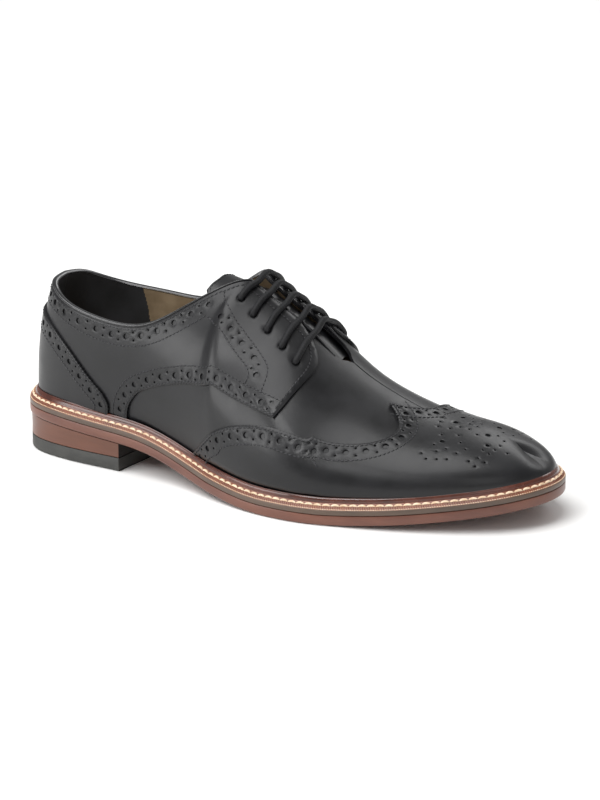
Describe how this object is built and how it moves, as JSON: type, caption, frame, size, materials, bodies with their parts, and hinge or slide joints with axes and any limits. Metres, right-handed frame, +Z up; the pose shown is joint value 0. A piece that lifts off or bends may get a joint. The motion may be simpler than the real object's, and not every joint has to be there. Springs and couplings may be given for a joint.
{
  "type": "brogue shoe",
  "caption": "Right-foot derby brogue shoe in black leather with wing cap, punched bands, open lacing and a stitched brown welt, outsole and stacked heel",
  "frame": {"origin": "on the floor, under the centre of the bounding box", "axes": "+X toe, +Y inner side of the foot, +Z up"},
  "size_m": [0.306, 0.1142, 0.1088],
  "materials": {
    "lift_rubber": "matt moulded rubber, lightly scuffed",
    "sole_leather": "stained and waxed edge, satin",
    "welt_leather": "stained, polished bead",
    "insole_leather": "smooth sock leather, matt",
    "black_leather": "polished calf, satin gloss",
    "lace_cotton": "round waxed woven cord"
  },
  "bodies": {
    "root": {"top_lift": "lift_rubber", "heel_block": "sole_leather", "outsole": "sole_leather", "welt": "welt_leather", "insole": "insole_leather", "upper": "black_leather", "tongue": "black_leather", "quarter_outer": "black_leather", "quarter_inner": "black_leather", "wing_cap": "black_leather", "counter": "black_leather", "lace_bar_1": "lace_cotton", "lace_bar_2": "lace_cotton", "lace_bar_3": "lace_cotton", "lace_bar_4": "lace_cotton", "lace_bar_5": "lace_cotton"}
  },
  "joints": []
}
